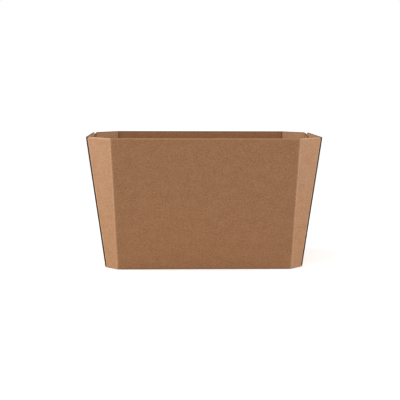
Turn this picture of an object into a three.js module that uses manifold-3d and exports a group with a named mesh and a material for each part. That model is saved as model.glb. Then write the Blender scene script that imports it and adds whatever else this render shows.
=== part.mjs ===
// A fruit punnet, folded and glued from one die-cut sheet of fine-fluted kraft board.
// The base carries four walls. The two long walls carry a corner facet at each end, and each facet
// carries a glue flap. The flaps are glued to the inner faces of the two short walls, so the short
// walls' cut edges stay in sight beside the facets.
// Origin: centre of the underside. +X runs along the long walls, +Z goes up. Millimetres.

import * as THREE from 'three';
import { mergeVertices } from 'three/addons/utils/BufferGeometryUtils.js';
import Module from 'manifold-3d';

const wasm = await Module();
wasm.setup();

// Folded punnet, over the outer faces of the board
const height = 106;
const rimLength = 190;
const rimDepth = 116;
const rimChamfer = 20.7;
const baseLength = 160.6;
const baseDepth = 94.8;
const baseChamfer = 10.4;

// Board: its thickness, the radius round the inside of a fold, the round groove that the score
// leaves along the inside of each fold, and how far the die presses the cut edges in from both
// faces along the rim and the facets' feet, over what height
const board = 1.2;
const foldInside = 0.3;
const scoreRadius = 0.4;
const rimPress = 0.2;
const rimPressHeight = 0.8;

// Glue flaps: reach along the short wall, how far their ends stop from the rim and from the base,
// how much each end slopes, the radius of the free corners, and how far the glued faces sink in
const flapReach = 24;
const flapBelowRim = 1.6;
const flapAboveBase = 3.2;
const flapEndSlope = THREE.MathUtils.degToRad(9);
const flapCorner = 6;
const glueSink = 0.1;

// Clearances: facet foot to the table, base corner to facet, short wall's cut edge to the fold
const facetLift = 0.2;
const cornerGap = 0.4;
const edgeGap = 0.3;

// Short walls: the radius of their two rim corners
const wallCorner = 1.6;

const foldOutside = foldInside + board;
const arcSteps = 3;
const spare = 4;

// One end of the punnet, rim or base, by its half sizes over the outer faces
function outlineOf(length, depth, chamfer) {
  return { halfLength: length / 2, halfDepth: depth / 2, chamfer };
}

const rim = outlineOf(rimLength, rimDepth, rimChamfer);
const base = outlineOf(baseLength, baseDepth, baseChamfer);

// The arc that rounds the corner between two straight edges to a radius, and its two ends
function cornerArc(before, corner, after, radius) {
  const inward = corner.clone().sub(before).normalize();
  const onward = after.clone().sub(corner).normalize();
  const side = Math.sign(inward.cross(onward));
  const turn = Math.acos(inward.dot(onward));
  const reach = radius * Math.tan(turn / 2);
  const start = corner.clone().addScaledVector(inward, -reach);
  const end = corner.clone().addScaledVector(onward, reach);
  const centre = new THREE.Vector2(-inward.y, inward.x).multiplyScalar(side * radius).add(start);
  return { start, end, centre, radius, clockwise: side < 0 };
}

// The arc that cuts a round groove into a corner, centred on the corner itself
function grooveArc(before, corner, after, radius) {
  const inward = corner.clone().sub(before).normalize();
  const onward = after.clone().sub(corner).normalize();
  const start = corner.clone().addScaledVector(inward, -radius);
  const end = corner.clone().addScaledVector(onward, radius);
  return { start, end, centre: corner, radius, clockwise: inward.cross(onward) > 0 };
}

// Closed shape through corners. Each is { at, round }, { at, groove } with a radius, or { at } alone.
function cornerShape(corners) {
  const shape = new THREE.Shape();
  corners.forEach(({ at, round = 0, groove = 0 }, i) => {
    const before = corners[(i + corners.length - 1) % corners.length].at;
    const after = corners[(i + 1) % corners.length].at;
    const arc = groove > 0
      ? grooveArc(before, at, after, groove)
      : cornerArc(before, at, after, round);
    if (i === 0) shape.moveTo(arc.start.x, arc.start.y);
    else shape.lineTo(arc.start.x, arc.start.y);
    if (arc.radius > 0) {
      const from = Math.atan2(arc.start.y - arc.centre.y, arc.start.x - arc.centre.x);
      const to = Math.atan2(arc.end.y - arc.centre.y, arc.end.x - arc.centre.x);
      shape.absarc(arc.centre.x, arc.centre.y, arc.radius, from, to, arc.clockwise);
    }
  });
  shape.closePath();
  return shape;
}

function solidOf(geometry) {
  const bare = geometry.clone();
  bare.deleteAttribute('normal');
  bare.deleteAttribute('uv');
  const merged = mergeVertices(bare);
  return new wasm.Manifold(new wasm.Mesh({
    numProp: 3,
    vertProperties: merged.attributes.position.array,
    triVerts: merged.index.array,
  }));
}

function joined(solids) {
  return solids.reduce((whole, next) => whole.add(next));
}

function cutFrom(body, cutters) {
  return cutters.reduce((rest, cutter) => rest.subtract(cutter), body);
}

// A wall rises from the base to the rim. Its level section is drawn at the rim, and each point of
// it leans back with the fold or free edge that it belongs to, given where that is at each end.
function risingWall(section, rimFolds, baseFolds) {
  const geometry = new THREE.ExtrudeGeometry(section, {
    depth: height - facetLift - 2 * rimPressHeight,
    curveSegments: arcSteps,
    bevelThickness: rimPressHeight,
    bevelSize: rimPress,
    bevelOffset: -rimPress,
    bevelSegments: arcSteps,
  });
  geometry.translate(0, 0, facetLift + rimPressHeight);
  const place = geometry.attributes.position;
  const point = new THREE.Vector2();
  for (let i = 0; i < place.count; i += 1) {
    point.set(place.getX(i), place.getY(i));
    const gaps = rimFolds.map((fold) => fold.distanceTo(point));
    const nearest = gaps.indexOf(Math.min(...gaps));
    const lean = baseFolds[nearest].clone().sub(rimFolds[nearest]);
    const down = 1 - place.getZ(i) / height;
    place.setXY(i, point.x + lean.x * down, point.y + lean.y * down);
  }
  return solidOf(geometry);
}

// Fold lines of a long wall in plan: flap end, flap fold and facet fold, right side then left.
// The flap end is drawn with some to spare, for the die to take off.
function longWallFolds(outline) {
  const flapX = outline.halfLength - board + glueSink;
  const facetX = outline.halfLength - outline.chamfer;
  const flapY = -outline.halfDepth + flapX - facetX;
  const right = [
    new THREE.Vector2(flapX, flapY + flapReach + spare),
    new THREE.Vector2(flapX, flapY),
    new THREE.Vector2(facetX, -outline.halfDepth),
  ];
  const left = right.map((p) => new THREE.Vector2(-p.x, p.y)).reverse();
  return [...right, ...left];
}

// The same line moved one board thickness to its inner side
function insideOf(folds) {
  const diagonal = board * Math.tan(Math.PI / 8);
  const [end, flap, facet] = folds;
  const right = [
    new THREE.Vector2(end.x - board, end.y),
    new THREE.Vector2(flap.x - board, flap.y + diagonal),
    new THREE.Vector2(facet.x - diagonal, facet.y + board),
  ];
  const left = right.map((p) => new THREE.Vector2(-p.x, p.y)).reverse();
  return [...right, ...left];
}

// Long wall with its two facets and two glue flaps, one strip folded four times
function longWall() {
  const folds = longWallFolds(rim);
  const isEnd = (i) => i === 0 || i === folds.length - 1;
  const outer = folds.map((at, i) => ({ at, round: isEnd(i) ? 0 : foldOutside }));
  const inner = insideOf(folds).map((at, i) => ({ at, groove: isEnd(i) ? 0 : scoreRadius }));
  const section = cornerShape([...outer, ...inner.reverse()]);
  const strip = risingWall(section, folds, longWallFolds(base));
  return cutFrom(strip, [flapTrimmer(1), flapTrimmer(-1)]);
}

// What the die takes off round a glue flap, drawn in the wall's side view and run across it.
// The flap keeps sloping ends and round free corners, from just past its fold.
function flapTrimmer(side) {
  const rimFold = longWallFolds(rim)[1];
  const baseFold = longWallFolds(base)[1];
  const foldReach = foldOutside * Math.tan(Math.PI / 8);
  const foldAt = (z) => THREE.MathUtils.lerp(baseFold.y, rimFold.y, z / height) + foldReach;
  const edgeAt = (z) => foldAt(z) - foldReach + flapReach;
  const drop = (flapReach - foldReach) * Math.tan(flapEndSlope);
  const top = height - flapBelowRim;
  const foot = flapAboveBase;
  const shape = cornerShape([
    { at: new THREE.Vector2(foldAt(height), height + spare) },
    { at: new THREE.Vector2(foldAt(top), top) },
    { at: new THREE.Vector2(edgeAt(top), top - drop), round: flapCorner },
    { at: new THREE.Vector2(edgeAt(foot), foot + drop), round: flapCorner },
    { at: new THREE.Vector2(foldAt(foot), foot) },
    { at: new THREE.Vector2(foldAt(0), -spare) },
    { at: new THREE.Vector2(edgeAt(0) + spare, -spare) },
    { at: new THREE.Vector2(edgeAt(height) + spare, height + spare) },
  ]);
  const inner = baseLength / 2 - baseChamfer - spare;
  const outer = rimLength / 2 + spare;
  const cutter = new THREE.ExtrudeGeometry(shape, {
    depth: outer - inner,
    curveSegments: arcSteps,
    bevelEnabled: false,
  });
  cutter.rotateX(Math.PI / 2);
  cutter.rotateZ(Math.PI / 2);
  cutter.translate(side > 0 ? inner : -outer, 0, 0);
  return solidOf(cutter);
}

// Half length of a short wall: its cut edges start just past the flap folds
function shortWallHalf(outline) {
  const foldReach = foldOutside * Math.tan(Math.PI / 8);
  return -longWallFolds(outline)[1].y - foldReach - edgeGap;
}

// Short wall, one flat panel outside the glue flaps, with its two rim corners rounded
function shortWall() {
  const cornersOf = (outline) => {
    const half = shortWallHalf(outline);
    const outer = outline.halfLength;
    return [
      new THREE.Vector2(outer - board, -half),
      new THREE.Vector2(outer, -half),
      new THREE.Vector2(outer, half),
      new THREE.Vector2(outer - board, half),
    ];
  };
  const corners = cornersOf(rim);
  const section = cornerShape(corners.map((at) => ({ at })));
  const panel = risingWall(section, corners, cornersOf(base));
  return cutFrom(panel, [rimCornerCutter(1), rimCornerCutter(-1)]);
}

function rimCornerCutter(side) {
  const half = shortWallHalf(rim);
  const shape = new THREE.Shape();
  shape.moveTo(half - wallCorner, height);
  shape.absarc(half - wallCorner, height - wallCorner, wallCorner, Math.PI / 2, 0, true);
  shape.lineTo(half + spare, height - wallCorner);
  shape.lineTo(half + spare, height + spare);
  shape.lineTo(half - wallCorner, height + spare);
  shape.closePath();
  const cutter = new THREE.ExtrudeGeometry(shape, {
    depth: board + 2 * spare,
    curveSegments: arcSteps,
    bevelEnabled: false,
  });
  cutter.rotateX(Math.PI / 2);
  cutter.rotateZ(side * Math.PI / 2);
  const across = rim.halfLength - board - spare;
  cutter.translate(side > 0 ? across : across + board + 2 * spare, 0, 0);
  return solidOf(cutter);
}

// Base panel: long and short edges fold up into the walls, the corners are cut clear of the facets
function basePanel() {
  const { halfLength, halfDepth, chamfer } = base;
  const back = (board + cornerGap) * Math.SQRT2;
  const longEnd = halfLength - chamfer - back;
  const shortEnd = halfDepth - chamfer - back;
  const shape = new THREE.Shape([
    new THREE.Vector2(longEnd, -halfDepth),
    new THREE.Vector2(halfLength, -shortEnd),
    new THREE.Vector2(halfLength, shortEnd),
    new THREE.Vector2(longEnd, halfDepth),
    new THREE.Vector2(-longEnd, halfDepth),
    new THREE.Vector2(-halfLength, shortEnd),
    new THREE.Vector2(-halfLength, -shortEnd),
    new THREE.Vector2(-longEnd, -halfDepth),
  ]);
  return solidOf(new THREE.ExtrudeGeometry(shape, { depth: board, bevelEnabled: false }));
}

// What rounds the outside of the fold between the base and a wall: drawn across the fold, where the
// wall's outer face meets the table at `edge` and leans out by `lean`, and run along it both ways
function baseFoldCutter(edge, lean, halfRun) {
  const table = new THREE.Vector2(edge - spare, 0);
  const fold = new THREE.Vector2(edge, 0);
  const wall = new THREE.Vector2(edge + spare * Math.sin(lean), spare * Math.cos(lean));
  const arc = cornerArc(table, fold, wall, foldOutside);
  const shape = new THREE.Shape();
  shape.moveTo(arc.start.x, -spare);
  shape.lineTo(edge + 2 * spare, -spare);
  shape.lineTo(edge + 2 * spare, arc.end.y);
  shape.lineTo(arc.end.x, arc.end.y);
  shape.absarc(arc.centre.x, arc.centre.y, foldOutside, -lean, -Math.PI / 2, true);
  shape.closePath();
  const cutter = new THREE.ExtrudeGeometry(shape, {
    depth: 2 * halfRun,
    curveSegments: arcSteps,
    bevelEnabled: false,
  });
  cutter.rotateX(Math.PI / 2);
  cutter.translate(0, halfRun, 0);
  return cutter;
}

// The score groove along the inside of a base fold, a round bar centred on the inside corner
function baseScoreCutter(edge, lean, halfRun) {
  const insideCorner = edge + board * Math.tan(lean) - board / Math.cos(lean);
  const bar = new THREE.CylinderGeometry(scoreRadius, scoreRadius, 2 * halfRun, 8 * arcSteps);
  return bar.translate(insideCorner, 0, board);
}

// The folds round the base: a quarter turn apart, long ones at the front and back, short at the ends
function baseFolds() {
  const longLean = Math.atan2(rim.halfDepth - base.halfDepth, height);
  const shortLean = Math.atan2(rim.halfLength - base.halfLength, height);
  const longRun = base.halfLength - base.chamfer;
  const shortRun = shortWallHalf(base);
  const along = [
    baseFoldCutter(base.halfDepth, longLean, longRun),
    baseScoreCutter(base.halfDepth, longLean, longRun),
  ];
  const across = [
    baseFoldCutter(base.halfLength, shortLean, shortRun + edgeGap / 2),
    baseScoreCutter(base.halfLength, shortLean, shortRun),
  ];
  const turned = (cutters, angle) => cutters.map((cutter) => solidOf(cutter.clone().rotateZ(angle)));
  return [
    ...turned(across, 0),
    ...turned(along, Math.PI / 2),
    ...turned(across, Math.PI),
    ...turned(along, -Math.PI / 2),
  ];
}

function punnetSolid() {
  const front = longWall();
  const right = shortWall();
  const halfTurn = [0, 0, 180];
  const body = joined([basePanel(), front, front.rotate(halfTurn), right, right.rotate(halfTurn)]);
  return cutFrom(body, baseFolds());
}

function geometryOf(solid) {
  const mesh = solid.getMesh();
  const geometry = new THREE.BufferGeometry();
  geometry.setAttribute('position', new THREE.BufferAttribute(mesh.vertProperties, 3));
  geometry.setIndex(new THREE.BufferAttribute(mesh.triVerts, 1));
  geometry.computeVertexNormals();
  return geometry;
}

const kraftBoard = new THREE.MeshStandardMaterial({ color: 0xaf8664, roughness: 0.92, metalness: 0 });

const punnet = new THREE.Mesh(geometryOf(punnetSolid()), kraftBoard);
punnet.name = 'punnet';

const model = new THREE.Group();
model.add(punnet);

export default model;
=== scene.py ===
import math

import bmesh
import bpy
from mathutils import Matrix, Vector


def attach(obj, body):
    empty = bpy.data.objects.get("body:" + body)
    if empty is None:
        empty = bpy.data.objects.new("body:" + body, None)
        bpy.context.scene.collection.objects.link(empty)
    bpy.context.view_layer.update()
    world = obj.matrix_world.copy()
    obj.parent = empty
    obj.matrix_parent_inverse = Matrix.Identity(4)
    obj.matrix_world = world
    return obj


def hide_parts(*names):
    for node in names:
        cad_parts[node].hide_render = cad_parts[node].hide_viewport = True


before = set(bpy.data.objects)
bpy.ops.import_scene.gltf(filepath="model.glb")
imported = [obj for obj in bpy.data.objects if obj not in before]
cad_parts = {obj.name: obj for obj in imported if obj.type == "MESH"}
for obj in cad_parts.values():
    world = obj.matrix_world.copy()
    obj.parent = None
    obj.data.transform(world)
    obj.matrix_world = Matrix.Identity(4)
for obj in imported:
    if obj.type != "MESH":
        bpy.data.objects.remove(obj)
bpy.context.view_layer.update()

# Board body
# The punnet is one die-cut sheet of fine-fluted kraft board, creased, folded up and glued at its
# four laps. This is the sheet as a closed body. What follows cuts its edges and gives it its paper.
MM = 0.001
SHARP_FOLD = math.radians(32)
WELD = 0.001 * MM


def welded(mesh):
    """Joins the loose triangles, and keeps only true corners sharp."""
    form = bmesh.new()
    form.from_mesh(mesh)
    bmesh.ops.remove_doubles(form, verts=form.verts, dist=WELD)
    bmesh.ops.dissolve_degenerate(form, edges=form.edges, dist=WELD)
    for face in form.faces:
        face.smooth = True
    for edge in form.edges:
        edge.smooth = edge.calc_face_angle(0) < SHARP_FOLD
    form.to_mesh(mesh)
    form.free()


def mesh_object(mesh, name):
    made = bpy.data.objects.new(name, mesh)
    bpy.context.collection.objects.link(made)
    return made


board = mesh_object(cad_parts["punnet"].data.copy(), "punnet_board")
welded(board.data)

# Panels
# The front right quarter as panels of the sheet: base, long wall, corner facet, glue flap and short
# wall. The other three quarters mirror it. Flutes run along Y in the base, so they stand upright in
# the long walls, facets and flaps, and lie level in the short walls.
BOARD = 1.2 * MM
HEIGHT = 106 * MM
RIM_HALF_LENGTH = 95 * MM
RIM_HALF_DEPTH = 58 * MM
RIM_CHAMFER = 20.7 * MM
BASE_HALF_LENGTH = 80.3 * MM
BASE_HALF_DEPTH = 47.4 * MM
BASE_CHAMFER = 10.4 * MM
GLUE_SINK = 0.1 * MM


def outline(share):
    """Half length, half depth and chamfer over the outside, at a share of the height."""
    low = Vector((BASE_HALF_LENGTH, BASE_HALF_DEPTH, BASE_CHAMFER))
    high = Vector((RIM_HALF_LENGTH, RIM_HALF_DEPTH, RIM_CHAMFER))
    return low.lerp(high, share)


def facet_fold(share):
    """Outer corner between the front wall and its right facet."""
    half_length, half_depth, chamfer = outline(share)
    return Vector((half_length - chamfer, -half_depth, share * HEIGHT))


def flap_fold(share):
    """Outer corner between the right facet and its glue flap."""
    half_length, half_depth, chamfer = outline(share)
    lap = BOARD - GLUE_SINK
    return Vector((half_length - lap, chamfer - half_depth - lap, share * HEIGHT))


def across_fold(fold, direction, onward_from, onward_to):
    """A direction in one panel, carried over a fold into the next: it keeps its angle to the fold."""
    return fold * direction.dot(fold) + onward_to * direction.dot(onward_from)


def in_panel(fold, towards):
    """Unit vector square to a fold, in the panel that holds the given direction."""
    return (towards - fold * towards.dot(fold)).normalized()


class Panel:
    """A flat panel: a corner of it, where that lies in the flat sheet, and the sheet's X and Y on it."""

    def __init__(self, corner, flat_corner, along_x, along_y):
        self.corner = corner
        self.flat_corner = flat_corner
        self.along_x = along_x
        self.along_y = along_y
        self.inward = along_x.cross(along_y).normalized()

    def in_sheet(self, point):
        """The point's place in the flat sheet: X, Y and depth below the outer liner."""
        arm = point - self.corner
        place = Vector((arm.dot(self.along_x), arm.dot(self.along_y), arm.dot(self.inward)))
        return self.flat_corner + place

    def next_panel(self, corner, fold, towards):
        """The panel that follows over a fold, which starts at a corner, in the direction given."""
        old_way = in_panel(fold, self.along_x)
        new_way = in_panel(fold, towards)
        along_x = across_fold(fold, self.along_x, old_way, new_way)
        along_y = across_fold(fold, self.along_y, old_way, new_way)
        return Panel(corner, self.in_sheet(corner), along_x, along_y)


X_AXIS = Vector((1, 0, 0))
Y_AXIS = Vector((0, 1, 0))
front_edge = Vector((0, -BASE_HALF_DEPTH, 0))
end_edge = Vector((BASE_HALF_LENGTH, 0, 0))
wall_down = (front_edge - Vector((0, -RIM_HALF_DEPTH, HEIGHT))).normalized()
end_up = (Vector((RIM_HALF_LENGTH, 0, HEIGHT)) - end_edge).normalized()
fold_up = (facet_fold(1) - facet_fold(0)).normalized()
lap_up = (flap_fold(1) - flap_fold(0)).normalized()

base = Panel(Vector(), Vector(), X_AXIS, Y_AXIS)
long_wall = Panel(front_edge, front_edge, X_AXIS, wall_down)
facet = long_wall.next_panel(facet_fold(0), fold_up, flap_fold(0) - facet_fold(0))
flap = facet.next_panel(flap_fold(0), lap_up, Y_AXIS)
short_wall = Panel(end_edge, end_edge, end_up, Y_AXIS)


def mirror_of(x_sign, y_sign):
    """What turns the front right quarter into the quarter with those signs, and back."""
    return Matrix.Diagonal((x_sign, -y_sign, 1))


QUARTERS = [(1, -1), (1, 1), (-1, 1), (-1, -1)]

# Open flutes
# A wavy sheet runs between the two liners and is glued to both at its crests. The die cuts straight
# through it, so a row of small open channels shows at each cut edge that the flutes run into. The
# die also presses the rim and the feet flatter, which narrows the mouths there.
FLUTE_PITCH = 2.4 * MM
LINER = 0.16 * MM
MEDIUM = 0.12 * MM
LINER_GAP = BOARD - 2 * LINER
WAVE = (LINER_GAP - MEDIUM) / 2
MOUTH_SHARE = 0.45
WAVE_STEPS = 8
OVERCUT = 0.4 * MM
PRESS_DEPTH = 0.8 * MM
CHANNEL_DEPTHS = {"rim": 6 * MM, "upright": 22 * MM, "flap": 6 * MM}
MOUTH_SQUEEZE = {"rim": 0.6, "upright": 1.0, "flap": 0.9}
FLAP_FROM_RIM = 1.6 * MM
FLAP_FROM_BASE = 3.2 * MM
FLAP_REACH = 24 * MM
FLAP_CORNER = 6 * MM
FLAP_END_SLOPE = math.radians(9)
FOLD_OUTSIDE = 1.5 * MM
EDGE_GAP = 0.3 * MM
FOLD_MARGIN = 2.6 * MM
EDGE_MARGIN = 2.6 * MM
FLUTING_DARK = (0.14, 0.065, 0.030, 1)
FLUTING_PALE = (0.30, 0.150, 0.075, 1)
PULP_SCALE = 2500


def add_node(tree, kind, inputs=None, **settings):
    """Adds a node. An input takes a value, or the output that is linked to it."""
    node = tree.nodes.new(kind)
    for name, value in settings.items():
        setattr(node, name, value)
    for socket, value in (inputs or {}).items():
        if isinstance(value, bpy.types.NodeSocket):
            tree.links.new(value, node.inputs[socket])
        else:
            node.inputs[socket].default_value = value
    return node


def maths(tree, operation, *values):
    """A Math node on values or outputs."""
    node = add_node(tree, "ShaderNodeMath", dict(enumerate(values)), operation=operation)
    return node.outputs["Value"]


def channel_between_liners(kind):
    """One channel as a closed prism: flat against a liner, hollowed by the wave on its other side."""
    half_width = MOUTH_SHARE * FLUTE_PITCH
    section = [(half_width, LINER_GAP / 2), (-half_width, LINER_GAP / 2)]
    for step in range(WAVE_STEPS + 1):
        along = half_width * (2 * step / WAVE_STEPS - 1)
        section.append((along, MEDIUM / 2 - WAVE * math.cos(math.tau * along / FLUTE_PITCH)))
    squeeze = MOUTH_SQUEEZE[kind]
    stations = [(-OVERCUT, squeeze), (0, squeeze), (PRESS_DEPTH, 1), (CHANNEL_DEPTHS[kind], 1)]
    form = bmesh.new()
    rings = [
        [form.verts.new((along, across * share, depth)) for along, across in section]
        for depth, share in stations
    ]
    for near, far in zip(rings, rings[1:]):
        for i, corner in enumerate(near):
            form.faces.new((near[i - 1], corner, far[i], far[i - 1]))
    form.faces.new(rings[0])
    form.faces.new(rings[-1])
    bmesh.ops.recalc_face_normals(form, faces=form.faces)
    mesh = bpy.data.meshes.new(kind + " channel")
    form.to_mesh(mesh)
    form.free()
    return mesh_object(mesh, kind + " channel")


def row_of_channels():
    """A tree that sets channels along a cut edge, half a pitch apart, on either side of the wave."""
    tree = bpy.data.node_groups.new("row of channels", "GeometryNodeTree")
    tree.interface.new_socket("Channels", in_out="OUTPUT", socket_type="NodeSocketGeometry")
    for name, kind in (
        ("Cut edge", "Geometry"),
        ("Channel", "Object"),
        ("Half pitch", "Float"),
        ("Into board", "Vector"),
        ("Across board", "Vector"),
        ("Material", "Material"),
    ):
        tree.interface.new_socket(name, in_out="INPUT", socket_type="NodeSocket" + kind)
    given = add_node(tree, "NodeGroupInput").outputs
    curve = add_node(tree, "GeometryNodeMeshToCurve", {"Mesh": given["Cut edge"]})
    stations = add_node(
        tree,
        "GeometryNodeResampleCurve",
        {"Curve": curve.outputs["Curve"], "Length": given["Half pitch"]},
        mode="LENGTH",
    )
    index = add_node(tree, "GeometryNodeInputIndex").outputs["Index"]
    side = maths(tree, "MULTIPLY_ADD", maths(tree, "MODULO", index, 2), -2, 1)
    facing = add_node(
        tree, "ShaderNodeVectorMath", {0: given["Across board"], "Scale": side}, operation="SCALE"
    )
    turn = add_node(
        tree,
        "FunctionNodeAxesToRotation",
        {"Primary Axis": given["Into board"], "Secondary Axis": facing.outputs["Vector"]},
        primary_axis="Z",
        secondary_axis="Y",
    )
    one = add_node(tree, "GeometryNodeObjectInfo", {"Object": given["Channel"]})
    row = add_node(
        tree,
        "GeometryNodeInstanceOnPoints",
        {
            "Points": stations.outputs["Curve"],
            "Instance": one.outputs["Geometry"],
            "Rotation": turn.outputs["Rotation"],
        },
    )
    solid = add_node(
        tree, "GeometryNodeRealizeInstances", {"Geometry": row.outputs["Instances"]}
    )
    paint = add_node(
        tree,
        "GeometryNodeSetMaterial",
        {"Geometry": solid.outputs["Geometry"], "Material": given["Material"]},
    )
    add_node(tree, "NodeGroupOutput", {"Channels": paint.outputs["Geometry"]})
    return tree


def plain_mesh(source, name):
    """The evaluated object as a plain mesh object, with no modifier left on it."""
    shown = source.evaluated_get(bpy.context.evaluated_depsgraph_get())
    mesh = bpy.data.meshes.new_from_object(shown)
    mesh.name = name
    bpy.data.objects.remove(source)
    return mesh_object(mesh, name)


channel_tree = row_of_channels()


def cut_channels(start, end, into, across, channel, material):
    """The channels along one cut edge, as a mesh object to be taken away from the board."""
    line = bpy.data.meshes.new("cut edge")
    line.from_pydata([start, end], [(0, 1)], [])
    holder = mesh_object(line, "cut edge")
    setting = holder.modifiers.new("channels", "NODES")
    setting.node_group = channel_tree
    values = {
        "Channel": channel,
        "Half pitch": FLUTE_PITCH / 2,
        "Into board": into,
        "Across board": across,
        "Material": material,
    }
    for socket in channel_tree.interface.items_tree:
        if socket.name in values:
            setting[socket.identifier] = values[socket.name]
    return plain_mesh(holder, "channels")


def mid_board(point, *panels):
    """A point of the outer face moved to the middle of the board, in one panel or at a fold."""
    inward = sum((panel.inward for panel in panels), Vector()).normalized()
    return point + inward * (BOARD / 2) / inward.dot(panels[0].inward)


def flap_end(from_fold, share, into, slope):
    """The ends of a glue flap's sloping end, which starts at a share of the height of its fold."""
    corner = mid_board(flap_fold(share), flap)
    run = Vector((0, 1, slope))
    run.x = run.z * flap.along_y.x / flap.along_y.z
    return (corner + run * FOLD_MARGIN, corner + run * from_fold, into, flap.inward, "flap")


def front_right_edges():
    """The cut edges of a quarter that flutes run into: ends, into the board, across it, and kind."""
    rim_middle = mid_board(Vector((FLUTE_PITCH / 4, -RIM_HALF_DEPTH, HEIGHT)), long_wall)
    rim_fold = mid_board(facet_fold(1), long_wall, facet)
    rim_lap = mid_board(flap_fold(1), facet, flap)
    foot_fold = mid_board(facet_fold(0), long_wall, facet)
    foot_lap = mid_board(flap_fold(0), facet, flap)
    clear = (flap_fold(0) - facet_fold(0)).normalized() * FOLD_MARGIN
    slope = math.tan(FLAP_END_SLOPE)
    straight = FLAP_REACH - FLAP_CORNER
    down = facet.along_y
    flap_down = flap.along_y
    return [
        (rim_middle, rim_fold - X_AXIS * FOLD_MARGIN, wall_down, long_wall.inward, "rim"),
        (rim_fold + clear, rim_lap - clear, down, facet.inward, "rim"),
        (foot_fold + clear, foot_lap - clear, -down, facet.inward, "rim"),
        flap_end(straight, 1 - FLAP_FROM_RIM / HEIGHT, flap_down, -slope),
        flap_end(straight, FLAP_FROM_BASE / HEIGHT, -flap_down, slope),
    ]


def upright_edge():
    """The upright cut edge of the right short wall that faces forward, beside the flap's fold."""
    past_fold = FOLD_OUTSIDE * math.tan(math.pi / 8) + EDGE_GAP
    ends = []
    for share in (EDGE_MARGIN / HEIGHT, 1 - EDGE_MARGIN / HEIGHT):
        x = outline(share).x - BOARD / 2
        ends.append(Vector((x, flap_fold(share).y + past_fold, share * HEIGHT)))
    return (*ends, Y_AXIS, short_wall.inward, "upright")


def fluting_paper():
    """The wavy middle sheet: browner and rougher than the liners, as far as light gets in."""
    material = bpy.data.materials.new("fluting paper")
    material.use_nodes = True
    tree = material.node_tree
    shader = tree.nodes["Principled BSDF"]
    place = add_node(tree, "ShaderNodeTexCoord").outputs["Object"]
    pulp = add_node(tree, "ShaderNodeTexNoise", {"Vector": place, "Scale": PULP_SCALE, "Detail": 3})
    tone = add_node(tree, "ShaderNodeValToRGB", {"Fac": pulp.outputs["Fac"]})
    tone.color_ramp.elements[0].color = FLUTING_DARK
    tone.color_ramp.elements[1].color = FLUTING_PALE
    tree.links.new(tone.outputs["Color"], shader.inputs["Base Color"])
    shader.inputs["Roughness"].default_value = 0.9
    return material


medium_paper = fluting_paper()
channel_shapes = {kind: channel_between_liners(kind) for kind in CHANNEL_DEPTHS}
cut_rows = []
for signs in QUARTERS:
    flip = mirror_of(*signs)
    for *line, kind in [*front_right_edges(), upright_edge()]:
        there = [flip @ vector for vector in line]
        cut_rows.append(cut_channels(*there, channel_shapes[kind], medium_paper))


def one_mesh(parts, name):
    """All the given mesh objects as one, which then takes their place."""
    form = bmesh.new()
    for part in parts:
        form.from_mesh(part.data)
        bpy.data.objects.remove(part)
    mesh = bpy.data.meshes.new(name)
    form.to_mesh(mesh)
    form.free()
    return mesh_object(mesh, name)


channels = one_mesh(cut_rows, "channels")
channels.data.materials.append(medium_paper)
for shape in channel_shapes.values():
    bpy.data.objects.remove(shape)


def cut_away(body, cutter, name):
    """Takes a closed mesh away from the board, which keeps the cutter's material on the cut."""
    cut = body.modifiers.new(name, "BOOLEAN")
    cut.operation = "DIFFERENCE"
    cut.solver = "MANIFOLD"
    cut.object = cutter
    cut.material_mode = "TRANSFER"


# Strip ends
# In the solid model the glue flaps are trimmed from a longer strip, and a hair-thin fin of its end
# stays on each short wall, 4 mm past each flap. The real wall is bare there, so they are shaved off.
STRIP_SPARE = 4 * MM
FIN_TOP = 60 * MM
FIN_HALF_WIDTH = 0.5 * MM
SHAVE = 0.01 * MM


def prism(profile, first, last, signs, name):
    """A closed prism: a profile carried from one offset to another, in the quarter with the signs."""
    flip = mirror_of(*signs)
    form = bmesh.new()
    near = [form.verts.new(flip @ (point + first)) for point in profile]
    far = [form.verts.new(flip @ (point + last)) for point in profile]
    for i in range(len(profile)):
        form.faces.new((near[i - 1], near[i], far[i], far[i - 1]))
    form.faces.new(near)
    form.faces.new(far)
    bmesh.ops.recalc_face_normals(form, faces=form.faces)
    mesh = bpy.data.meshes.new(name)
    form.to_mesh(mesh)
    form.free()
    return mesh_object(mesh, name)


def inner_face(height):
    """A point of the right short wall's inner face at a height."""
    low = end_edge + short_wall.inward * BOARD
    return low + end_up * (height - low.z) / end_up.z


def fin_cutter(signs):
    """What shaves one fin off the short wall, from the base's upper face up."""
    ends = (inner_face(BOARD - SHAVE), inner_face(FIN_TOP))
    behind = [end + X_AXIS * SHAVE for end in ends]
    before = [end - X_AXIS * 2 * BOARD for end in reversed(ends)]
    across = flap_fold(FIN_TOP / 2 / HEIGHT).y + FLAP_REACH + STRIP_SPARE
    first = Y_AXIS * (across - FIN_HALF_WIDTH)
    last = Y_AXIS * (across + FIN_HALF_WIDTH)
    return prism(behind + before, first, last, signs, "fin")


fins = one_mesh([fin_cutter(signs) for signs in QUARTERS], "fins")

# Rim notches
# The die nicks the rim beside each glue flap's fold, from the height where the flap's own end
# starts, so that the folded corner doesn't bulge. It leaves a small V between facet and short wall.
NOTCH_RUN = 2.6 * MM
NOTCH_PAST_FOLD = 1.0 * MM
NOTCH_DEPTH = 1.7 * MM
NOTCH_SPARE = 2.0 * MM


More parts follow.
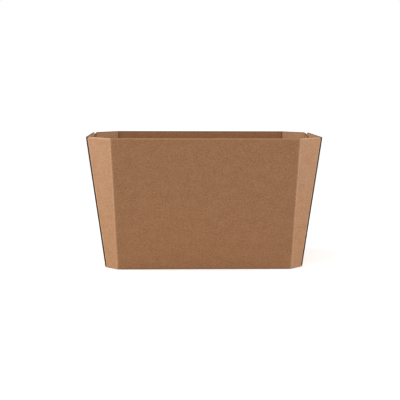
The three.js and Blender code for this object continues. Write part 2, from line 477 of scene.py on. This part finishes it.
def rim_notch(signs):
    """The wedge that comes off one rim corner, as a prism across the facet."""
    along = -in_panel(Vector((0, 0, 1)), facet.along_x)
    through = facet.inward.copy()
    through.z = 0
    through.normalize()
    corner = flap_fold(1)
    up = Vector((0, 0, 1))
    profile = [
        corner + along * NOTCH_RUN,
        corner - up * NOTCH_DEPTH,
        corner - along * NOTCH_PAST_FOLD - up * NOTCH_DEPTH,
        corner - along * NOTCH_PAST_FOLD + up * NOTCH_SPARE,
        corner + along * NOTCH_RUN + up * NOTCH_SPARE,
    ]
    outside = -through * NOTCH_SPARE
    inside = through * (BOARD + NOTCH_SPARE)
    return prism(profile, outside, inside, signs, "rim notch")


notches = one_mesh([rim_notch(signs) for signs in QUARTERS], "rim notches")

# Kraft paper
# Both faces of the board are unbleached kraft liner: brown pulp with long fibres, darker bark specks
# and a faint washboard over the flutes. Painted shade darkens the inner creases, the inside of the
# rim and the base folds, and a painted highlight lightens the outer rim and upright folds. Cut edges
# show all three layers, darkened as painted shade.
KRAFT = (0.452, 0.201, 0.079, 1)
KRAFT_DARK = (0.300, 0.128, 0.050, 1)
KRAFT_PALE = (0.600, 0.325, 0.165, 1)
# Cut edges: liner and fluting darkened well below the paper's own brown, as painted shade of the open
# flutes.
SHADED_RAW_LINER = (0.150, 0.070, 0.032, 1)
SHADED_RAW_FLUTING = (0.065, 0.030, 0.014, 1)
RAW_ROUGHNESS = 0.95
# The brown that painted shade darkens towards: at creases, under the rim inside and at the base folds.
PAINTED_SHADE_BROWN = (0.100, 0.040, 0.016, 1)
# Sizes and widths at creases are in millimetres of the sheet. A pair says where a ramp starts and
# ends, and two more numbers say from what to what it runs.
FIBRE_ANGLES = (-38, -13, 8, 31, 76)
FIBRE_SIZE = (2.2, 0.11, 0.5)
PALE_FIBRE = (0.56, 0.70)
DARK_FIBRE = (0.42, 0.28)
CLOUD_SIZE = (9.0, 7.0, 2.0)
FLOCK_SIZE = (1.1, 1.1, 0.8)
GRAIN_SIZE = (0.5, 0.4, 0.4)
TORN_SIZE = (0.9, 0.9, 0.12)
SPECKS_PER_MM = 0.42
SPECK_REACH = (0.10, 0.05)
SPECKS_LEFT = (0.72, 0.76)
# Among the tones are two painted highlights: a band under the outer rim and the outer upright folds.
TONES = {
    "cloud": 0.35,
    "flock": 1.10,
    "grain": 0.60,
    "pale": 0.16,
    "dark": -0.18,
    "speck": -0.50,
    "rim_highlight": 0.80,
    "fold_highlight": 0.30,
}
RELIEF = {"wave": 0.004, "grain": 0.014, "pale": 0.006, "dark": -0.004, "cloud": 0.02}
INNER_SIDE = (0.4, 0.8)
CREASE_SHADE = 0.85
CREASE = (1.1, 0.3)
FOOT_SHADE = 0.30
# Painted highlight along the outer upright folds.
FOLD_HIGHLIGHT = (1.7, 0.3)
RIM_BAND = (HEIGHT - 1.3 * MM, HEIGHT - 0.2 * MM)
RIM_SHADE = 0.55
# Grain that breaks up the painted highlight under the rim.
HIGHLIGHT_BREAKUP = (0.35, 0.60, 0.4, 1.0)
ROUGHNESS = (0.3, 0.7, 0.70, 0.54)
TEAR = 0.24
TUFTS = (0.50, 0.80, 0.0, 0.4)
CUT_FACE = 0.5
SQUARE = 0.95
PANEL_SLACK = 0.5 * MM
PAST_BOARD = 1.1 * BOARD
QUARTER_PANELS = (base, long_wall, facet, flap, short_wall)


def panel_at(centre, normal):
    """The panel that a face of the front right quarter belongs to, and how far it faces with it."""
    depths = {panel: (centre - panel.corner).dot(panel.inward) for panel in QUARTER_PANELS}
    past_wall = depths[short_wall] > PAST_BOARD
    if abs(normal.y) > SQUARE and depths[base] > BOARD and not past_wall:
        return short_wall, abs(normal.dot(short_wall.inward))
    fitting = [
        panel
        for panel, depth in depths.items()
        if -PANEL_SLACK < depth < BOARD + PANEL_SLACK
        and not (panel is short_wall and past_wall)
        and not (panel is flap and not past_wall)
        and not (panel is base and depths[facet] < PAST_BOARD)
    ]
    if not fitting:
        fitting = [min(depths, key=lambda panel: abs(depths[panel] - BOARD / 2))]
    best = max(fitting, key=lambda panel: abs(normal.dot(panel.inward)))
    return best, abs(normal.dot(best.inward))


def lay_out(mesh, cut_slot):
    """Gives each face corner its place in the flat sheet, in millimetres, and marks cut edges."""
    maps = {}
    for signs in QUARTERS:
        flip = mirror_of(*signs)
        for panel in QUARTER_PANELS:
            turn = Matrix((panel.along_x, panel.along_y, panel.inward))
            shift = panel.flat_corner - turn @ panel.corner
            both = (flip @ turn @ flip).to_4x4()
            both.translation = flip @ shift
            maps[signs, panel] = Matrix.Scale(1 / MM, 4) @ both
    places = mesh.attributes.new("sheet", "FLOAT_VECTOR", "CORNER")
    for face in mesh.polygons:
        signs = (math.copysign(1, face.center.x), math.copysign(1, face.center.y))
        flip = mirror_of(*signs)
        panel, facing = panel_at(flip @ face.center, flip @ face.normal)
        if facing < CUT_FACE and face.material_index == 0:
            face.material_index = cut_slot
        to_sheet = maps[signs, panel]
        for corner in face.loop_indices:
            point = mesh.vertices[mesh.loops[corner].vertex_index].co
            places.data[corner].vector = to_sheet @ point


def new_paper(name):
    """A material that reads the place in the flat sheet: its tree, its shader and that place."""
    material = bpy.data.materials.new(name)
    material.use_nodes = True
    tree = material.node_tree
    shader = tree.nodes["Principled BSDF"]
    place = add_node(tree, "ShaderNodeAttribute", attribute_name="sheet").outputs["Vector"]
    return material, tree, shader, place


def noise(tree, place, size, detail=3.0, rough=0.5, angle=0.0, shift=0.0):
    """Noise whose blots have the given sizes in millimetres, turned in the sheet by an angle."""
    stretched = add_node(
        tree,
        "ShaderNodeMapping",
        {
            "Vector": place,
            "Location": (shift, shift, shift),
            "Rotation": (0, 0, math.radians(angle)),
            "Scale": size,
        },
        vector_type="TEXTURE",
    )
    inputs = {
        "Vector": stretched.outputs["Vector"],
        "Scale": 1.0,
        "Detail": detail,
        "Roughness": rough,
    }
    return add_node(tree, "ShaderNodeTexNoise", inputs).outputs["Fac"]


def ramp_between(tree, value, start, end, low=0.0, high=1.0):
    """Smooth step of a value from low, at its start, to high, at its end."""
    inputs = {"Value": value, "From Min": start, "From Max": end, "To Min": low, "To Max": high}
    node = add_node(tree, "ShaderNodeMapRange", inputs, interpolation_type="SMOOTHSTEP")
    return node.outputs["Result"]


def blended(tree, share, first, second):
    """A colour that goes from the first to the second with a share."""
    node = add_node(tree, "ShaderNodeMix", {0: share, 6: first, 7: second}, data_type="RGBA")
    return node.outputs[2]


def distance_to_line():
    """A group: distance in the sheet from a place to the line between two ends."""
    tree = bpy.data.node_groups.new("distance to line", "ShaderNodeTree")
    for name in ("Place", "Start", "End"):
        tree.interface.new_socket(name, in_out="INPUT", socket_type="NodeSocketVector")
    tree.interface.new_socket("Distance", in_out="OUTPUT", socket_type="NodeSocketFloat")
    given = add_node(tree, "NodeGroupInput").outputs

    def vectors(operation, *values):
        return add_node(
            tree, "ShaderNodeVectorMath", dict(enumerate(values)), operation=operation
        )

    run = vectors("SUBTRACT", given["End"], given["Start"]).outputs["Vector"]
    arm = vectors("SUBTRACT", given["Place"], given["Start"]).outputs["Vector"]
    along = vectors("DOT_PRODUCT", arm, run).outputs["Value"]
    whole = vectors("DOT_PRODUCT", run, run).outputs["Value"]
    share = add_node(tree, "ShaderNodeClamp", {"Value": maths(tree, "DIVIDE", along, whole)})
    nearest = add_node(
        tree,
        "ShaderNodeVectorMath",
        {0: run, "Scale": share.outputs["Result"]},
        operation="SCALE",
    )
    gap = vectors("DISTANCE", arm, nearest.outputs["Vector"]).outputs["Value"]
    add_node(tree, "NodeGroupOutput", {"Distance": gap})
    return tree


line_distance = distance_to_line()


def in_first_quarter(lines):
    """The lines in millimetres, in the sheet's quarter with positive X and Y."""
    return [[(abs(end.x) / MM, abs(end.y) / MM, 0) for end in line] for line in lines]


def base_creases():
    """The creases round the base: front and right."""
    front = (front_edge, long_wall.in_sheet(facet_fold(0)))
    right = (end_edge, Vector((BASE_HALF_LENGTH, flap_fold(0).y, 0)))
    return in_first_quarter([front, right])


def upright_creases():
    """The creases at both sides of a facet."""
    at_wall = [long_wall.in_sheet(facet_fold(share)) for share in (0, 1)]
    at_flap = [facet.in_sheet(flap_fold(share)) for share in (0, 1)]
    return in_first_quarter([at_wall, at_flap])


def crease_distance(tree, place, lines):
    """Distance in millimetres to the nearest of some creases of the sheet."""
    folded_over = add_node(
        tree, "ShaderNodeVectorMath", {0: place}, operation="ABSOLUTE"
    ).outputs["Vector"]
    level = add_node(
        tree, "ShaderNodeVectorMath", {0: folded_over, 1: (1, 1, 0)}, operation="MULTIPLY"
    ).outputs["Vector"]
    nearest = None
    for start, end in lines:
        group = add_node(tree, "ShaderNodeGroup", node_tree=line_distance)
        tree.links.new(level, group.inputs["Place"])
        group.inputs["Start"].default_value = start
        group.inputs["End"].default_value = end
        gap = group.outputs["Distance"]
        nearest = gap if nearest is None else maths(tree, "MINIMUM", nearest, gap)
    return nearest


def weighed_sum(tree, terms):
    """The sum of each output times its weight."""
    total = 0.0
    for value, weight in terms:
        total = maths(tree, "MULTIPLY_ADD", value, weight, total)
    return total


def kraft_liner():
    """The smooth outer paper of both faces."""
    material, tree, shader, place = new_paper("kraft liner")
    parts = add_node(tree, "ShaderNodeSeparateXYZ", {"Vector": place}).outputs
    here = add_node(tree, "ShaderNodeTexCoord").outputs["Object"]
    height = add_node(tree, "ShaderNodeSeparateXYZ", {"Vector": here}).outputs["Z"]
    cloud = noise(tree, place, CLOUD_SIZE)
    flock = noise(tree, place, FLOCK_SIZE, detail=2.0, rough=0.6, shift=57.0)
    grain = noise(tree, place, GRAIN_SIZE, detail=5.0, rough=0.7)
    pale_hairs = []
    dark_hairs = []
    for number, angle in enumerate(FIBRE_ANGLES):
        hairs = noise(tree, place, FIBRE_SIZE, detail=2.0, angle=angle, shift=31.0 * number)
        pale_hairs.append(ramp_between(tree, hairs, *PALE_FIBRE))
        dark_hairs.append(ramp_between(tree, hairs, *DARK_FIBRE))
    pale = weighed_sum(tree, [(hair, 1.0) for hair in pale_hairs])
    dark = weighed_sum(tree, [(hair, 1.0) for hair in dark_hairs])
    bark = add_node(
        tree, "ShaderNodeTexVoronoi", {"Vector": place, "Scale": SPECKS_PER_MM, "Randomness": 1.0}
    )
    speck_here = ramp_between(tree, bark.outputs["Distance"], *SPECK_REACH)
    chosen = add_node(tree, "ShaderNodeSeparateColor", {"Color": bark.outputs["Color"]})
    few = ramp_between(tree, chosen.outputs["Red"], *SPECKS_LEFT)
    speck = maths(tree, "MULTIPLY", speck_here, few)
    inside = ramp_between(tree, parts["Z"], *INNER_SIDE)
    outside = maths(tree, "SUBTRACT", 1.0, inside)
    # Painted highlight: the outer face is paler in a band under the rim, broken up by the grain.
    at_rim = ramp_between(tree, height, *RIM_BAND)
    highlight_breakup = ramp_between(tree, grain, *HIGHLIGHT_BREAKUP)
    rim_highlight = maths(tree, "MULTIPLY", maths(tree, "MULTIPLY", at_rim, highlight_breakup), outside)
    upright = crease_distance(tree, place, upright_creases())
    # Painted highlight: the outer face is paler along the upright folds.
    fold_highlight = maths(tree, "MULTIPLY", ramp_between(tree, upright, *FOLD_HIGHLIGHT), outside)
    foot = crease_distance(tree, place, base_creases())
    marks = {
        "cloud": maths(tree, "SUBTRACT", cloud, 0.5),
        "flock": maths(tree, "SUBTRACT", flock, 0.5),
        "grain": maths(tree, "SUBTRACT", grain, 0.5),
        "pale": pale,
        "dark": dark,
        "speck": speck,
        "rim_highlight": rim_highlight,
        "fold_highlight": fold_highlight,
    }
    tone = weighed_sum(tree, [(mark, TONES[name]) for name, mark in marks.items()])
    tone = maths(tree, "ADD", tone, 0.5)
    colour = add_node(tree, "ShaderNodeValToRGB", {"Fac": tone})
    stops = colour.color_ramp.elements
    stops[0].color = KRAFT_DARK
    stops[1].color = KRAFT_PALE
    stops.new(0.5).color = KRAFT
    # Painted shade: the inner creases are darkened towards the shade brown.
    painted_crease_shade = ramp_between(tree, maths(tree, "MINIMUM", upright, foot), *CREASE)
    painted_crease_shade = maths(tree, "MULTIPLY", painted_crease_shade, CREASE_SHADE)
    # Painted shade along the inside of the rim.
    at_rim = maths(tree, "MULTIPLY", at_rim, RIM_SHADE)
    inner_shade = maths(tree, "MULTIPLY", maths(tree, "MAXIMUM", painted_crease_shade, at_rim), inside)
    # Painted shade along the base folds, on both faces.
    foot_shade = ramp_between(tree, foot, *CREASE, 0.0, FOOT_SHADE)
    shade = maths(tree, "MAXIMUM", inner_shade, foot_shade)
    shaded = blended(tree, shade, colour.outputs["Color"], PAINTED_SHADE_BROWN)
    tree.links.new(shaded, shader.inputs["Base Color"])
    rough = ramp_between(tree, grain, *ROUGHNESS)
    tree.links.new(rough, shader.inputs["Roughness"])
    wave = maths(tree, "SINE", maths(tree, "MULTIPLY", parts["X"], math.tau * MM / FLUTE_PITCH))
    rises = {"wave": wave, "grain": grain, "pale": pale, "dark": dark, "cloud": cloud}
    relief = weighed_sum(tree, [(rise, RELIEF[name]) for name, rise in rises.items()])
    bump = add_node(tree, "ShaderNodeBump", {"Height": relief, "Distance": MM})
    tree.links.new(bump.outputs["Normal"], shader.inputs["Normal"])
    return material


def raw_edge():
    """A cut edge: the two liners as thin lines, and between them the crushed, torn fluting, both far
    darker than the paper's own brown as painted shade.
    """
    material, tree, shader, place = new_paper("raw edge")
    shader.inputs["Roughness"].default_value = RAW_ROUGHNESS
    parts = add_node(tree, "ShaderNodeSeparateXYZ", {"Vector": place}).outputs
    off_middle = maths(tree, "ABSOLUTE", maths(tree, "SUBTRACT", parts["Z"], BOARD / 2 / MM))
    torn = noise(tree, place, TORN_SIZE, detail=4.0)
    liner_start = (BOARD / 2 - 1.6 * LINER) / MM
    at_liner = maths(tree, "ADD", off_middle, maths(tree, "MULTIPLY_ADD", torn, TEAR, -TEAR / 2))
    at_liner = ramp_between(tree, at_liner, liner_start, liner_start + 0.12)
    layers = blended(tree, at_liner, SHADED_RAW_FLUTING, SHADED_RAW_LINER)
    tuft = ramp_between(tree, torn, *TUFTS)
    colour = blended(tree, tuft, layers, KRAFT)
    tree.links.new(colour, shader.inputs["Base Color"])
    bump = add_node(tree, "ShaderNodeBump", {"Height": torn, "Distance": 0.15 * MM})
    tree.links.new(bump.outputs["Normal"], shader.inputs["Normal"])
    return material


liner_paper = kraft_liner()
edge_paper = raw_edge()
board.data.materials.clear()
board.data.materials.append(liner_paper)
fins.data.materials.append(liner_paper)
notches.data.materials.append(edge_paper)
cut_away(board, fins, "strip ends")
cut_away(board, channels, "open flutes")
cut_away(board, notches, "rim notches")
flat = board.modifiers.new("flat panels", "WEIGHTED_NORMAL")
flat.keep_sharp = True
board = plain_mesh(board, "punnet_board")
for cutter in (fins, channels, notches):
    bpy.data.objects.remove(cutter)
lay_out(board.data, board.data.materials.find(edge_paper.name))

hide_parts("punnet")
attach(board, "root")

# Floor
# A plain white sweep that the punnet stands on. It shows as white and keeps the punnet's shadow.
# Its glow stops at the base's outline, so that no light leaks out from under the punnet.
FLOOR_SIZE = 6.0
FLOOR_DROP = 0.05 * MM
FLOOR_GLOW = 0.52
FOOT_GLOW = (-4 * MM, 2 * MM)
FAR_GLOW = 0.80
GLOW_GROWS = (0.6, 1.9)
SWEEP_GREY = (0.8, 0.8, 0.8, 1)
WHITE = (1, 1, 1, 1)


def seen_directly(tree):
    """One for rays from the camera, straight or by a mirror or through glass, else zero."""
    ray = add_node(tree, "ShaderNodeLightPath").outputs
    mirrored = maths(tree, "MAXIMUM", ray["Is Camera Ray"], ray["Is Glossy Ray"])
    return maths(tree, "MAXIMUM", mirrored, ray["Is Transmission Ray"])


def beyond_foot(tree, place):
    """How far a place of the floor lies outside the base's outline, or inside it if negative."""
    level = add_node(tree, "ShaderNodeVectorMath", {0: place}, operation="ABSOLUTE")
    parts = add_node(tree, "ShaderNodeSeparateXYZ", {"Vector": level.outputs["Vector"]}).outputs
    past_end = maths(tree, "SUBTRACT", parts["X"], BASE_HALF_LENGTH)
    past_side = maths(tree, "SUBTRACT", parts["Y"], BASE_HALF_DEPTH)
    corner = maths(tree, "ADD", maths(tree, "ADD", past_end, past_side), BASE_CHAMFER)
    past_corner = maths(tree, "MULTIPLY", corner, math.sqrt(0.5))
    return maths(tree, "MAXIMUM", maths(tree, "MAXIMUM", past_end, past_side), past_corner)


def white_sweep():
    material = bpy.data.materials.new("white sweep")
    material.use_nodes = True
    tree = material.node_tree
    shader = tree.nodes["Principled BSDF"]
    shader.inputs["Base Color"].default_value = SWEEP_GREY
    shader.inputs["Roughness"].default_value = 0.9
    shader.inputs["Emission Color"].default_value = WHITE
    place = add_node(tree, "ShaderNodeTexCoord").outputs["Object"]
    away = add_node(tree, "ShaderNodeVectorMath", {0: place}, operation="LENGTH").outputs["Value"]
    glow = ramp_between(tree, away, *GLOW_GROWS, FLOOR_GLOW, FAR_GLOW)
    bare = ramp_between(tree, beyond_foot(tree, place), *FOOT_GLOW)
    glow = maths(tree, "MULTIPLY", glow, bare)
    seen = maths(tree, "MULTIPLY", glow, seen_directly(tree))
    tree.links.new(seen, shader.inputs["Emission Strength"])
    return material


floor_mesh = bpy.data.meshes.new("floor")
half = FLOOR_SIZE / 2
corners = [(x * half, y * half, -FLOOR_DROP) for x, y in ((-1, -1), (1, -1), (1, 1), (-1, 1))]
floor_mesh.from_pydata(corners, [], [(0, 1, 2, 3)])
floor = mesh_object(floor_mesh, "floor")
floor.data.materials.append(white_sweep())

# Lamps
# Soft boxes: one high in front, one at each side, so that the slanted facets catch more light. The
# side ones are a little cooler, as the photograph's facets are less red than its front.
NEUTRAL = (1.0, 1.0, 1.0)
COOL = (0.92, 0.99, 1.0)
# Name, place and size in metres, watts, colour.
LAMPS = [
    ("top_box", (-0.2, -0.9, 1.6), (1.2, 1.2), 7.8, NEUTRAL),
    ("left_box", (-1.2, 0.0, 0.3), (0.8, 1.0), 15.2, COOL),
    ("right_box", (1.2, 0.0, 0.3), (0.8, 1.0), 12.0, COOL),
]
ROOM_LIGHT = 0.22
AIM = Vector((0, 0, 0.05))


def soft_box(name, place, size, watts, colour):
    lamp = bpy.data.lights.new(name, "AREA")
    lamp.shape = "RECTANGLE"
    lamp.size, lamp.size_y = size
    lamp.energy = watts
    lamp.color = colour
    holder = bpy.data.objects.new(name, lamp)
    holder.location = place
    holder.rotation_mode = "QUATERNION"
    holder.rotation_quaternion = (AIM - Vector(place)).to_track_quat("-Z", "Y")
    bpy.context.collection.objects.link(holder)


for lamp in LAMPS:
    soft_box(*lamp)


def white_room():
    world = bpy.data.worlds.new("white room")
    world.use_nodes = True
    tree = world.node_tree
    room = tree.nodes["Background"]
    room.inputs["Color"].default_value = WHITE
    room.inputs["Strength"].default_value = ROOM_LIGHT
    backdrop = add_node(tree, "ShaderNodeBackground", {"Color": WHITE})
    shown = add_node(tree, "ShaderNodeMixShader", {0: seen_directly(tree)})
    tree.links.new(room.outputs["Background"], shown.inputs[1])
    tree.links.new(backdrop.outputs["Background"], shown.inputs[2])
    tree.links.new(shown.outputs["Shader"], tree.nodes["World Output"].inputs["Surface"])
    bpy.context.scene.world = world


white_room()

# Camera
# The photograph's view, from a camera fitted to twelve corners of the punnet.
FOCAL_PIXELS = 920.0
FRAME_PIXELS = 400.0
SENSOR = 36.0
NEAREST = 0.05
FARTHEST = 50
YAW = math.radians(2.045)
PITCH = math.radians(7.069)
ROLL = math.radians(-0.191)
CAMERA_FROM_PUNNET = Vector((-2.21, -775.77, 146.58)) * MM


def photo_camera():
    camera = bpy.data.cameras.new("photo camera")
    camera.sensor_width = SENSOR
    camera.lens = FOCAL_PIXELS * SENSOR / FRAME_PIXELS
    camera.clip_start = NEAREST
    camera.clip_end = FARTHEST
    holder = bpy.data.objects.new("photo camera", camera)
    up = Vector((0, math.sin(PITCH), math.cos(PITCH)))
    back = Vector((0, -math.cos(PITCH), math.sin(PITCH)))
    image_right = X_AXIS * math.cos(ROLL) - up * math.sin(ROLL)
    image_up = X_AXIS * math.sin(ROLL) + up * math.cos(ROLL)
    turn = Matrix((image_right, image_up, back)).transposed().to_4x4()
    unyaw = Matrix.Rotation(-YAW, 4, "Z")
    holder.matrix_world = unyaw @ Matrix.Translation(CAMERA_FROM_PUNNET) @ turn
    bpy.context.collection.objects.link(holder)
    bpy.context.scene.camera = holder


photo_camera()
bpy.context.scene.view_settings.view_transform = "Standard"
